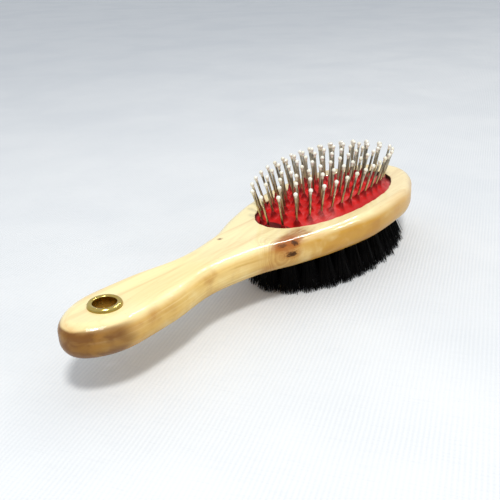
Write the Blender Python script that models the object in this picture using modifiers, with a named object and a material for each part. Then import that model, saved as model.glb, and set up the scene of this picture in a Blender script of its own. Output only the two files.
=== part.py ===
"""Wooden pet brush with two working faces: ball-tipped pins on an air cushion, and nylon bristle tufts.

Metres, +Z up. X runs along the brush from the hanging end to the head, Y across it. The origin is the
middle of the brush's box in plan, on the plane of the bristle tips. Pins point up and bristles down.
"""

import math

import bmesh
import bpy
import numpy as np
from mathutils import Matrix, Vector

# Wooden body
LENGTH = 0.215
THICKNESS = 0.0137
EDGE_ROUND = 0.0062
TAIL_ROUND = 0.0226
HEAD_ROUND = 0.0303
# Distance from the hanging end, and half the width there before the ends are rounded
WIDTHS = (
    (0.000, 0.0136),
    (0.014, 0.0141),
    (0.038, 0.0132),
    (0.062, 0.0100),
    (0.084, 0.0130),
    (0.104, 0.0205),
    (0.124, 0.0264),
    (0.150, 0.0301),
    (0.176, 0.0285),
    (0.200, 0.0222),
    (0.215, 0.0215),
)

# Bristle side
BRISTLE_LENGTH = 0.0165
UNDERSIDE = BRISTLE_LENGTH
TOP = UNDERSIDE + THICKNESS
TUFT_FIELD_X = 0.045
TUFT_RINGS = ((0.045, 0.020, 25), (0.0365, 0.0117, 17))
TUFT_ROW_HALF = 0.025
TUFT_ROW_COUNT = 7
TUFT_SPREAD = (1.145, 1.225)
TUFT_ROOT_RADIUS = 0.0019
TUFT_MIDDLE_RADIUS = 0.0031
TUFT_TIP_RADIUS = 0.0043
TUFT_STUB = 0.0040
TUFT_HOLE_RADIUS = 0.0023
TUFT_HOLE_DEPTH = 0.0045
TUFT_SIDES = 6

# Pad recess: a superellipse in plan, with an undercut groove that holds the cushion's edge
PAD_X = 0.0446
PAD_HALF_LENGTH = 0.0471
PAD_HALF_WIDTH = 0.0207
PAD_POWER = 2.1
RECESS_DEPTH = 0.0075
LIP = 0.0014
GROOVE_REACH = 0.0015
# Clearance between neighbouring pieces, and how far a cutter runs on past the surface it opens
GAP = 0.0003
OVERCUT = 0.002

# Rubber air cushion
RUBBER = 0.0014
FLANGE_REACH = GROOVE_REACH - GAP
CUSHION_EDGE = TOP - LIP - GAP
DOME_RISE = 0.0058
DOME_FOOT = 0.975
DOME_POWER = 4
# Shares of the way from the cushion's middle to its edge at which the membrane has a ring of vertices
DOME_SHARES = (0.0, 0.3, 0.5, 0.65, 0.8, 0.9, DOME_FOOT)

# Pins
PIN_FIELD_X = 0.0438
PIN_RINGS = (
    ("outer", 0.0438, 0.0163, 32, 0.0),
    ("middle", 0.0380, 0.0109, 26, 0.5),
    ("inner", 0.0320, 0.0055, 20, 0.0),
)
PIN_ROW_HALF = 0.0250
PIN_ROW_COUNT = 8
PIN_LENGTH = 0.0155
PIN_RADIUS = 0.00052
BALL_RADIUS = 0.00095
PIN_HOLE_RADIUS = 0.00095
PIN_HOLE_ABOVE = 0.004
PIN_HOLE_BELOW = 0.006
PIN_SPLAY = (0.118, 0.264)
PIN_SIDES = 5
STRIP_RADIUS = 0.0008

# Brass eyelet
EYELET_X = -0.0896
EYELET_HOLE_RADIUS = 0.0042
EYELET_WALL = 0.0005
EYELET_BORE_RADIUS = EYELET_HOLE_RADIUS + EYELET_WALL + GAP
EYELET_FLANGE_RADIUS = 0.00615
EYELET_CROWN = 0.00145
EYELET_FLARE = 0.0002
EYELET_ROLL = 0.0005
EYELET_SPREAD_RADIUS = EYELET_FLANGE_RADIUS - 0.0006
WASHER_THICKNESS = 0.0005
EYELET_SIDES = 20

# Where the body's flat faces are divided across, so that each stretch of the handle has faces of its own
FACE_CUTS = (-0.0800, -0.0350, -0.0060)

OUTLINE_TAIL_STEPS = 8
OUTLINE_SIDE_STEPS = 20
OUTLINE_HEAD_STEPS = 9
PAD_SIDES = 40


def clear_scene():
    for obj in list(bpy.data.objects):
        bpy.data.objects.remove(obj, do_unlink=True)


def new_collection(name):
    collection = bpy.data.collections.new(name)
    bpy.context.scene.collection.children.link(collection)
    return collection


def new_material(name, color, roughness, metallic=0.0):
    material = bpy.data.materials.new(name)
    material.use_nodes = True
    shader = material.node_tree.nodes["Principled BSDF"]
    shader.inputs["Base Color"].default_value = (*color, 1.0)
    shader.inputs["Roughness"].default_value = roughness
    shader.inputs["Metallic"].default_value = metallic
    return material


def add_object(name, data, collection):
    obj = bpy.data.objects.new(name, data)
    collection.objects.link(obj)
    return obj


def as_cutter(obj):
    """Keeps a helper out of renders and shows it as wire."""
    obj.hide_render = True
    obj.display_type = "WIRE"
    return obj


def boolean(obj, other, operation):
    """Adds an exact Boolean of the other mesh to the object."""
    modifier = obj.modifiers.new(operation.title() + " " + other.name, "BOOLEAN")
    modifier.operation = operation
    modifier.solver = "EXACT"
    modifier.object = other


def to_mesh(obj):
    """Turns a curve or a mesh with modifiers into a plain closed mesh object under the same name."""
    bpy.context.view_layer.update()
    graph = bpy.context.evaluated_depsgraph_get()
    mesh = bpy.data.meshes.new_from_object(obj.evaluated_get(graph))
    work = bmesh.new()
    work.from_mesh(mesh)
    bmesh.ops.remove_doubles(work, verts=work.verts, dist=1e-6)
    bmesh.ops.recalc_face_normals(work, faces=work.faces)
    work.to_mesh(mesh)
    work.free()
    name, place, collection = obj.name, obj.matrix_world.copy(), obj.users_collection[0]
    bpy.data.objects.remove(obj, do_unlink=True)
    made = bpy.data.objects.new(name, mesh)
    made.matrix_world = place
    collection.objects.link(made)
    return made


def turned(name, profile, sides, collection, closed=False):
    """A solid of revolution about Z from (radius, height) points, closed on the axis or on itself."""
    mesh = bpy.data.meshes.new(name)
    count = len(profile)
    edges = [(i, i + 1) for i in range(count - 1)]
    if closed:
        edges.append((count - 1, 0))
    mesh.from_pydata([(radius, 0.0, height) for radius, height in profile], edges, [])
    obj = add_object(name, mesh, collection)
    screw = obj.modifiers.new("Turn", "SCREW")
    screw.steps = sides
    screw.render_steps = sides
    screw.use_merge_vertices = True
    screw.merge_threshold = 0.00001
    return to_mesh(obj)


def drill_shape(name, radius, bottom, top, sides, collection):
    """A cylinder about Z between two heights."""
    profile = [(0.0, top), (radius, top), (radius, bottom), (0.0, bottom)]
    return turned(name, profile, sides, collection)


def flat_outline(name, points, bottom, top, collection):
    """A prism from a closed outline in plan, between two heights."""
    curve = bpy.data.curves.new(name, "CURVE")
    curve.dimensions = "2D"
    curve.fill_mode = "BOTH"
    curve.extrude = (top - bottom) / 2
    spline = curve.splines.new("POLY")
    spline.points.add(len(points) - 1)
    for point, (x, y) in zip(spline.points, points):
        point.co = (x, y, 0.0, 1.0)
    spline.use_cyclic_u = True
    obj = add_object(name, curve, collection)
    obj.location.z = (top + bottom) / 2
    return obj


def smooth_through(stations, where):
    """Monotone cubic curve through (position, value) stations, read at the given positions."""
    at, value = np.array(stations).T
    step = np.diff(at)
    slope = np.diff(value) / step
    tangent = np.zeros(len(at))
    for i in range(1, len(at) - 1):
        if slope[i - 1] * slope[i] > 0:
            before = 2 * step[i] + step[i - 1]
            after = step[i] + 2 * step[i - 1]
            tangent[i] = (before + after) / (before / slope[i - 1] + after / slope[i])
    i = np.clip(np.searchsorted(at, where) - 1, 0, len(step) - 1)
    t = (where - at[i]) / step[i]
    return (
        (2 * t**3 - 3 * t**2 + 1) * value[i]
        + (t**3 - 2 * t**2 + t) * step[i] * tangent[i]
        + (3 * t**2 - 2 * t**3) * value[i + 1]
        + (t**3 - t**2) * step[i] * tangent[i + 1]
    )


def body_outline():
    """The body's plan as (x, y) points, round the tail and the head in even turns."""
    tail = np.linspace(0, math.pi / 2, OUTLINE_TAIL_STEPS, endpoint=False)
    head = np.linspace(math.pi / 2, 0, OUTLINE_HEAD_STEPS + 1)
    side = np.linspace(TAIL_ROUND, LENGTH - HEAD_ROUND, OUTLINE_SIDE_STEPS, endpoint=False)
    along = np.concatenate(
        [TAIL_ROUND * (1 - np.cos(tail)), side, LENGTH - HEAD_ROUND * (1 - np.cos(head))]
    )
    rounding = np.concatenate([np.sin(tail), np.ones(len(side)), np.sin(head)])
    half = smooth_through(WIDTHS, along) * rounding
    near = [(x - LENGTH / 2, -y) for x, y in zip(along, half)]
    far = [(x, -y) for x, y in near[-2:0:-1]]
    return near + far


def superellipse(angle, half_length, half_width):
    c, s = math.cos(angle), math.sin(angle)
    x = math.copysign(abs(c) ** (2 / PAD_POWER), c) * half_length
    y = math.copysign(abs(s) ** (2 / PAD_POWER), s) * half_width
    return x, y


def pad_outline(reach=0.0):
    """The recess's plan, moved outwards by reach."""
    points = []
    for i in range(PAD_SIDES):
        angle = 2 * math.pi * i / PAD_SIDES
        x, y = superellipse(angle, PAD_HALF_LENGTH + reach, PAD_HALF_WIDTH + reach)
        points.append((PAD_X + x, y))
    return points


def dome_height(share):
    """Height of the cushion's upper surface, at a share of the way from its middle to the recess's edge."""
    return CUSHION_EDGE + DOME_RISE * (1 - min(share / DOME_FOOT, 1.0) ** DOME_POWER)


def pad_share(x, y):
    across = abs((x - PAD_X) / PAD_HALF_LENGTH) ** PAD_POWER + abs(y / PAD_HALF_WIDTH) ** PAD_POWER
    return across ** (1 / PAD_POWER)


def evenly_round(half_length, half_width, count, phase):
    """Points spaced evenly by length round an ellipse, from its tail end along the -Y side."""
    angle = np.linspace(math.pi, 3 * math.pi, 2001)
    points = np.stack([half_length * np.cos(angle), half_width * np.sin(angle)], axis=1)
    run = np.concatenate([[0], np.cumsum(np.linalg.norm(np.diff(points, axis=0), axis=1))])
    wanted = (np.arange(count) + phase) / count * run[-1]
    at = np.interp(wanted, run, angle)
    return [(half_length * math.cos(a), half_width * math.sin(a)) for a in at]


def pin_rows():
    """Row name to the plan positions of its pins, each ring in a near and a far half."""
    rows = {}
    for name, half_length, half_width, count, phase in PIN_RINGS:
        places = [(PIN_FIELD_X + x, y) for x, y in evenly_round(half_length, half_width, count, phase)]
        rows[f"pins_{name}_near"] = places[: count // 2]
        rows[f"pins_{name}_far"] = places[count // 2 :]
    row = np.linspace(-PIN_ROW_HALF, PIN_ROW_HALF, PIN_ROW_COUNT)
    rows["pins_centre"] = [(PIN_FIELD_X + float(x), 0.0) for x in row]
    return rows


def pin_axis(x, y):
    """A pin's place on the cushion's upper surface, and its direction, which splays outwards."""
    foot = Vector((x, y, dome_height(pad_share(x, y))))
    lean_x = (x - PIN_FIELD_X) * PIN_SPLAY[0]
    lean_y = y * PIN_SPLAY[1]
    rise = math.sqrt(PIN_LENGTH**2 - lean_x**2 - lean_y**2)
    return foot, Vector((lean_x, lean_y, rise)).normalized()


def along_axis(foot, direction):
    return Matrix.Translation(foot) @ direction.to_track_quat("Z", "Y").to_matrix().to_4x4()


def cluster(name, shape, places, collection):
    """One helper mesh that holds a copy of the shape at each place."""
    work = bmesh.new()
    for place in places:
        copy = shape.data.copy()
        copy.transform(place)
        work.from_mesh(copy)
        bpy.data.meshes.remove(copy)
    mesh = bpy.data.meshes.new(name)
    work.to_mesh(mesh)
    work.free()
    return as_cutter(add_object(name, mesh, collection))


def pin_shape(depth, collection):
    """A ball-tipped pin standing on the origin, its shank running on below for the given depth."""
    waist = BALL_RADIUS * math.cos(math.radians(30))
    profile = [
        (0.0, PIN_LENGTH + BALL_RADIUS),
        (waist, PIN_LENGTH + BALL_RADIUS / 2),
        (waist, PIN_LENGTH - BALL_RADIUS / 2),
        (PIN_RADIUS, PIN_LENGTH - BALL_RADIUS),
        (PIN_RADIUS, -depth),
        (0.0, -depth),
    ]
    return turned("pin shape", profile, PIN_SIDES, collection)


def build_pins(parts, helpers, material):
    """Each row is one body: its pins, joined under the rubber by a thin strip through their lower ends."""
    for name, places in pin_rows().items():
        axes = [pin_axis(x, y) for x, y in places]
        strip_height = min(foot.z for foot, _ in axes) - RUBBER - GAP - STRIP_RADIUS
        ends = [foot + way * ((strip_height - foot.z) / way.z) for foot, way in axes]
        curve = bpy.data.curves.new(name, "CURVE")
        curve.dimensions = "3D"
        curve.bevel_depth = STRIP_RADIUS
        curve.bevel_resolution = 0
        curve.use_fill_caps = True
        spline = curve.splines.new("POLY")
        spline.points.add(len(ends) - 1)
        for point, end in zip(spline.points, ends):
            point.co = (*end, 1.0)
        strip = to_mesh(add_object(name, curve, parts))
        strip.data.materials.append(material)
        work = bmesh.new()
        for (foot, way), end in zip(axes, ends):
            shape = pin_shape((foot - end).length, helpers)
            shape.data.transform(along_axis(foot, way))
            work.from_mesh(shape.data)
            bpy.data.objects.remove(shape, do_unlink=True)
        mesh = bpy.data.meshes.new(name + " pins")
        work.to_mesh(mesh)
        work.free()
        pins = as_cutter(add_object(name + " pins", mesh, helpers))
        boolean(strip, pins, "UNION")


def build_cushion(parts, helpers, material):
    """A domed rubber membrane with a flat edge, pierced by a clearance hole for each pin."""
    top = [(share, dome_height(share)) for share in DOME_SHARES]
    outer = 1.0 + FLANGE_REACH / PAD_HALF_LENGTH
    profile = top + [(outer, CUSHION_EDGE), (outer, CUSHION_EDGE - RUBBER)]
    profile += [(share, height - RUBBER) for share, height in reversed(top)]
    cushion = turned("cushion", profile, PAD_SIDES, parts)
    for vertex in cushion.data.vertices:
        share = math.hypot(vertex.co.x, vertex.co.y)
        angle = math.atan2(vertex.co.y, vertex.co.x)
        reach = FLANGE_REACH if share > 1 else 0.0
        size = min(share, 1.0)
        x, y = superellipse(angle, size * PAD_HALF_LENGTH + reach, size * PAD_HALF_WIDTH + reach)
        vertex.co.x = PAD_X + x
        vertex.co.y = y
    cushion.data.materials.append(material)
    drill = drill_shape("pin hole", PIN_HOLE_RADIUS, -PIN_HOLE_BELOW, PIN_HOLE_ABOVE, PIN_SIDES, helpers)
    places = [along_axis(*pin_axis(x, y)) for row in pin_rows().values() for x, y in row]
    boolean(cushion, cluster("pin holes", drill, places, helpers), "DIFFERENCE")
    bpy.data.objects.remove(drill, do_unlink=True)


def tuft_places():
    """Plan positions of the tufts at the wood: two rings and a middle row."""
    places = []
    for half_length, half_width, count in TUFT_RINGS:
        places += evenly_round(half_length, half_width, count, 0.0)
    row = np.linspace(-TUFT_ROW_HALF, TUFT_ROW_HALF, TUFT_ROW_COUNT)
    places += [(float(x), 0.0) for x in row]
    return places


def build_tufts(parts, material):
    """Each tuft widens from its hole to the tips, and leans outwards with its place in the field."""
    profile = [
        (0.0, UNDERSIDE + TUFT_STUB),
        (TUFT_ROOT_RADIUS, UNDERSIDE + TUFT_STUB),
        (TUFT_ROOT_RADIUS, UNDERSIDE),
        (TUFT_MIDDLE_RADIUS, UNDERSIDE / 2),
        (TUFT_TIP_RADIUS, 0.0),
        (0.0, 0.0),
    ]
    for number, (x, y) in enumerate(tuft_places(), 1):
        tuft = turned(f"tuft_{number:02d}", profile, TUFT_SIDES, parts)
        for vertex in tuft.data.vertices:
            share = max(0.0, UNDERSIDE - vertex.co.z) / UNDERSIDE
            vertex.co.x += x * (TUFT_SPREAD[0] - 1) * share
            vertex.co.y += y * (TUFT_SPREAD[1] - 1) * share
        tuft.location = (TUFT_FIELD_X + x, y, 0.0)
        tuft.data.materials.append(material)


def divide_flats(obj):
    """Makes each flat side one face, then divides it across at FACE_CUTS."""
    work = bmesh.new()
    work.from_mesh(obj.data)
    bmesh.ops.dissolve_limit(
        work, angle_limit=math.radians(0.1), verts=work.verts, edges=work.edges
    )
    for x in FACE_CUTS:
        everything = work.verts[:] + work.edges[:] + work.faces[:]
        bmesh.ops.bisect_plane(
            work, geom=everything, dist=1e-6, plane_co=(x, 0, 0), plane_no=(1, 0, 0)
        )
    work.to_mesh(obj.data)
    work.free()


def build_handle(parts, helpers, material):
    """The wooden body: a rounded slab with the pad recess, its groove, the eyelet bore and the tuft holes."""
    body = flat_outline("handle_body", body_outline(), UNDERSIDE, TOP, parts)
    body.data.extrude = THICKNESS / 2 - EDGE_ROUND
    body.data.bevel_depth = EDGE_ROUND
    body.data.bevel_resolution = 3
    body.data.offset = -EDGE_ROUND
    body = to_mesh(body)
    divide_flats(body)
    body.data.materials.append(material)
    over = TOP + OVERCUT
    under = UNDERSIDE - OVERCUT
    groove_floor = CUSHION_EDGE - RUBBER - GAP
    recess = to_mesh(flat_outline("recess", pad_outline(), TOP - RECESS_DEPTH, over, helpers))
    groove = to_mesh(flat_outline("groove", pad_outline(GROOVE_REACH), groove_floor, TOP - LIP, helpers))
    bore = drill_shape("eyelet bore", EYELET_BORE_RADIUS, under, over, EYELET_SIDES, helpers)
    bore.location.x = EYELET_X
    deep = UNDERSIDE + TUFT_HOLE_DEPTH
    drill = drill_shape("tuft hole", TUFT_HOLE_RADIUS, under, deep, TUFT_SIDES, helpers)
    places = [Matrix.Translation((TUFT_FIELD_X + x, y, 0.0)) for x, y in tuft_places()]
    holes = cluster("tuft holes", drill, places, helpers)
    bpy.data.objects.remove(drill, do_unlink=True)
    for cutter in (recess, groove, bore, holes):
        boolean(body, as_cutter(cutter), "DIFFERENCE")


def build_eyelet(parts, material):
    """The rolled eyelet through the tail, and the washer that its lower end is spread over."""
    inner = EYELET_HOLE_RADIUS
    outer = inner + EYELET_WALL
    rim = EYELET_FLANGE_RADIUS
    washer_top = UNDERSIDE - GAP
    spread_top = washer_top - WASHER_THICKNESS - GAP
    profile = [
        (inner, TOP - EYELET_FLARE),
        (inner + EYELET_FLARE, TOP + EYELET_CROWN * 0.7),
        (outer + EYELET_FLARE, TOP + EYELET_CROWN),
        (rim - EYELET_ROLL, TOP + EYELET_CROWN * 0.9),
        (rim, TOP + EYELET_CROWN * 0.45),
        (rim - EYELET_FLARE, TOP + GAP),
        (outer, TOP + GAP),
        (outer, spread_top),
        (EYELET_SPREAD_RADIUS, spread_top),
        (EYELET_SPREAD_RADIUS, spread_top - EYELET_FLARE),
        (outer, spread_top - EYELET_ROLL),
        (inner, spread_top - EYELET_FLARE / 2),
    ]
    eyelet = turned("eyelet", profile, EYELET_SIDES, parts, closed=True)
    ring = [
        (outer + GAP, washer_top),
        (rim, washer_top),
        (rim, washer_top - WASHER_THICKNESS),
        (outer + GAP, washer_top - WASHER_THICKNESS),
    ]
    washer = turned("eyelet_washer", ring, EYELET_SIDES, parts, closed=True)
    for piece in (eyelet, washer):
        piece.location.x = EYELET_X
        piece.data.materials.append(material)


def shade(parts):
    """Smooth shading with the creases kept."""
    for obj in parts.objects:
        obj.data.shade_smooth()
        obj.data.set_sharp_from_angle(angle=math.radians(35))


def main():
    clear_scene()
    parts = new_collection("pet brush")
    helpers = new_collection("cutters")
    wood = new_material("lacquered wood", (0.72, 0.50, 0.24), 0.25)
    brass = new_material("brass", (0.72, 0.50, 0.18), 0.2, 1.0)
    rubber = new_material("red rubber", (0.62, 0.015, 0.012), 0.3)
    steel = new_material("plated steel", (0.55, 0.52, 0.46), 0.25, 1.0)
    nylon = new_material("black nylon", (0.012, 0.012, 0.013), 0.4)
    build_handle(parts, helpers, wood)
    build_eyelet(parts, brass)
    build_cushion(parts, helpers, rubber)
    build_pins(parts, helpers, steel)
    build_tufts(parts, nylon)
    shade(parts)


main()
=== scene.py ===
"""The looks of a wooden pet brush: ball-tipped pins on a red air cushion above, black nylon bristle below.

Metres, +Z up. X runs from the hanging end to the head, Y across, and the floor is at the bristle tips.
"""

import logging
import math
import random
from dataclasses import dataclass, field
from enum import Enum
from typing import Any

import bpy
import numpy as np
from mathutils import Matrix, Vector, noise
from mathutils.geometry import delaunay_2d_cdt


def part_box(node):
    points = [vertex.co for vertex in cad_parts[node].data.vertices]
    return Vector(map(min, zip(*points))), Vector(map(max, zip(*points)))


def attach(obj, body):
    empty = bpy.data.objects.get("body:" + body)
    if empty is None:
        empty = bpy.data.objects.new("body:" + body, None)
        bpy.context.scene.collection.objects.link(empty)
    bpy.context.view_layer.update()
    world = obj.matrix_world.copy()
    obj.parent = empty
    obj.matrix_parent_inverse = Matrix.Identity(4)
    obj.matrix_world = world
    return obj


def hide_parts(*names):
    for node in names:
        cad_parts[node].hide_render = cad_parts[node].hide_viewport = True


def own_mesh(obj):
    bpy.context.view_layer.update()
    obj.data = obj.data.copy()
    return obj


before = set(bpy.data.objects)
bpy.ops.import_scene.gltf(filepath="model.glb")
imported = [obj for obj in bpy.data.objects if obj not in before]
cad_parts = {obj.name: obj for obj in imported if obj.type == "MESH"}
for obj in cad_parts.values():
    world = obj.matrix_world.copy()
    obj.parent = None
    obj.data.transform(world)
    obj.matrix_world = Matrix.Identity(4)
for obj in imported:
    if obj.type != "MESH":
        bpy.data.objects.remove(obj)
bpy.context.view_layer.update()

LOG = logging.getLogger("pet_brush")
MM = 0.001
UP = (0.0, 0.0, 1.0)
AUTO = (0.0, 0.0, 0.0)

Point2 = tuple[float, float]
Point3 = tuple[float, float, float]
Colour = tuple[float, float, float]


class Body(Enum):
    """The moving bodies of the brush."""

    HANDLE = "handle"
    PINS = "pin_field"


class Slot(Enum):
    """The finishes' names."""

    WOOD = "handle_wood"
    BRASS = "eyelet_brass"
    RUBBER = "cushion_rubber"
    STEEL = "pin_steel"
    BEAD = "pin_tip"
    NYLON = "bristle_nylon"


# ---------------------------------------------------------------------------------------------------------
# Shader expressions


class Value:
    """An output socket that takes part in Python arithmetic; each operation adds a Math node."""

    def __init__(self, graph: "Graph", socket: bpy.types.NodeSocket) -> None:
        """Keeps the socket and the graph that it belongs to.

        Args:
            graph: The material's graph.
            socket: The output socket to stand for.
        """
        self.graph = graph
        self.socket = socket

    def math(self, operation: str, *others: "Value | float") -> "Value":
        """Applies a Math node to this value and others.

        Args:
            operation: The Math node's operation.
            others: The further operands.

        Returns:
            The result.
        """
        return self.graph.math(operation, self, *others)

    def __add__(self, other: "Value | float") -> "Value":
        """This value plus another."""
        return self.math("ADD", other)

    def __sub__(self, other: "Value | float") -> "Value":
        """This value less another."""
        return self.math("SUBTRACT", other)

    def __mul__(self, other: "Value | float") -> "Value":
        """This value times another."""
        return self.math("MULTIPLY", other)

    def __truediv__(self, other: "Value | float") -> "Value":
        """This value divided by another."""
        return self.math("DIVIDE", other)

    def __pow__(self, other: "Value | float") -> "Value":
        """This value to a power."""
        return self.math("POWER", other)

    def __radd__(self, other: float) -> "Value":
        """A number plus this value."""
        return self.graph.math("ADD", other, self)

    def __rsub__(self, other: float) -> "Value":
        """A number less this value."""
        return self.graph.math("SUBTRACT", other, self)

    def __rmul__(self, other: float) -> "Value":
        """A number times this value."""
        return self.graph.math("MULTIPLY", other, self)

    def __rtruediv__(self, other: float) -> "Value":
        """A number divided by this value."""
        return self.graph.math("DIVIDE", other, self)


class Graph:
    """A material and the node graph behind its Principled shader."""

    def __init__(self, name: str) -> None:
        """Makes the material.

        Args:
            name: The finish's name.
        """
        self.material = bpy.data.materials.new(name)
        self.material.use_nodes = True
        self.tree = self.material.node_tree
        self.shader = self.tree.nodes["Principled BSDF"]

    def node(
        self,
        kind: str,
        settings: dict[str, Any] | None = None,
        inputs: dict[str | int, Any] | None = None,
        output: str | int = 0,
    ) -> Value:
        """Adds any node: its settings first, then its sockets' values or links.

        Args:
            kind: The node's type.
            settings: Properties by name; "stops" is a ramp's list of (position, colour).
            inputs: Values or links by socket name or number.
            output: Which output to return.

        Returns:
            The chosen output.
        """
        node = self.tree.nodes.new(kind)
        for key, setting in (settings or {}).items():
            if key == "stops":
                elements = node.color_ramp.elements
                while len(elements) < len(setting):
                    elements.new(1.0)
                for element, (position, colour) in zip(elements, setting):
                    element.position = position
                    element.color = (*colour, 1.0)
            else:
                setattr(node, key, setting)
        for key, given in (inputs or {}).items():
            self.feed(node.inputs[key], given)
        return Value(self, node.outputs[output])

    def feed(self, socket: bpy.types.NodeSocket, given: Any) -> None:
        """Links a value to a socket, or sets a constant on it.

        Args:
            socket: The input socket.
            given: A Value, a number, a vector or a colour.
        """
        if isinstance(given, Value):
            self.tree.links.new(given.socket, socket)
        elif socket.type == "RGBA" and len(given) == 3:
            socket.default_value = (*given, 1.0)
        else:
            socket.default_value = given

    def surface(self, **sockets: Any) -> bpy.types.Material:
        """Sets the Principled shader's sockets.

        Args:
            sockets: Values by socket name, with _ for a space.

        Returns:
            The finished material.
        """
        for name, given in sockets.items():
            self.feed(self.shader.inputs[name.replace("_", " ")], given)
        return self.material

    def math(self, operation: str, *operands: Value | float) -> Value:
        """A Math node.

        Args:
            operation: The node's operation.
            operands: Its inputs in order.

        Returns:
            The result.
        """
        return self.node("ShaderNodeMath", {"operation": operation}, dict(enumerate(operands)))

    def place(self) -> Value:
        """The point on the piece, in its own coordinates."""
        return self.node("ShaderNodeTexCoord", output="Object")

    def axes(self, vector: Value) -> tuple[Value, Value, Value]:
        """The three components of a vector.

        Args:
            vector: The vector.

        Returns:
            Its x, y and z.
        """
        parts = self.node("ShaderNodeSeparateXYZ", inputs={0: vector}).socket.node.outputs
        return Value(self, parts[0]), Value(self, parts[1]), Value(self, parts[2])

    def point(self, x: Value | float, y: Value | float, z: Value | float) -> Value:
        """A vector from three components."""
        return self.node("ShaderNodeCombineXYZ", inputs={0: x, 1: y, 2: z})

    def vector(self, operation: str, *operands: Any, output: int = 0) -> Value:
        """A Vector Math node.

        Args:
            operation: The node's operation.
            operands: Its inputs in order.
            output: 0 for the vector, 1 for the number.

        Returns:
            The result.
        """
        settings = {"operation": operation}
        return self.node("ShaderNodeVectorMath", settings, dict(enumerate(operands)), output)

    def stretched(self, vector: Value, scale: Point3) -> Value:
        """A vector with each axis scaled."""
        return self.vector("MULTIPLY", vector, scale)

    def noise(
        self, vector: Value, scale: float, detail: float = 2.0, rough: float = 0.5, warp: float = 0.0
    ) -> Value:
        """Fractal noise from 0 to 1.

        Args:
            vector: Where to read it.
            scale: Cells per metre.
            detail: Octaves.
            rough: How much the small octaves count.
            warp: How far the pattern is bent.

        Returns:
            The noise.
        """
        inputs = {"Vector": vector, "Scale": scale, "Detail": detail, "Roughness": rough, "Distortion": warp}
        return self.node("ShaderNodeTexNoise", inputs=inputs)

    def line_noise(self, at: Value, scale: float, detail: float = 2.0, rough: float = 0.5) -> Value:
        """Noise along one number, which gives uneven bands.

        Args:
            at: The number.
            scale: Bands per unit.
            detail: Octaves.
            rough: How much the small octaves count.

        Returns:
            The noise.
        """
        inputs = {"W": at, "Scale": scale, "Detail": detail, "Roughness": rough}
        return self.node("ShaderNodeTexNoise", {"noise_dimensions": "1D"}, inputs)

    def rise(self, value: Value, low: float, high: float) -> Value:
        """A smooth step from 0 at low to 1 at high, either way round.

        Args:
            value: The value.
            low: Where it is 0.
            high: Where it is 1.

        Returns:
            The step.
        """
        inputs = {"Value": value, "From Min": low, "From Max": high}
        return self.node("ShaderNodeMapRange", {"interpolation_type": "SMOOTHSTEP"}, inputs)

    def mix(self, share: Value | float, first: Any, second: Any) -> Value:
        """A colour between two, by share.

        Args:
            share: 0 for the first colour, 1 for the second.
            first: A colour.
            second: A colour.

        Returns:
            The mixed colour.
        """
        settings = {"data_type": "RGBA", "clamp_factor": True}
        return self.node("ShaderNodeMix", settings, {0: share, 6: first, 7: second}, output=2)

    def ramp(self, value: Value, stops: list[tuple[float, Colour]]) -> Value:
        """A colour read from a ramp."""
        return self.node("ShaderNodeValToRGB", {"stops": stops}, {0: value})

    def attribute(self, name: str) -> Value:
        """A number kept on the mesh's points."""
        return self.node("ShaderNodeAttribute", {"attribute_name": name}, output="Fac")

    def bump(self, height: Value, strength: float, distance: float) -> Value:
        """A normal from a height.

        Args:
            height: The height, about 0 to 1.
            strength: How much of the bump shows.
            distance: How high 1 stands, in metres.

        Returns:
            The normal.
        """
        inputs = {"Height": height, "Strength": strength, "Distance": distance}
        return self.node("ShaderNodeBump", inputs=inputs)


# ---------------------------------------------------------------------------------------------------------
# Finishes


@dataclass(frozen=True)
class Knot:
    """A knot in the wood: where its middle comes out, its half sizes, and how dark it is."""

    place: Point3
    size: Point3
    dark: float


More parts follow.
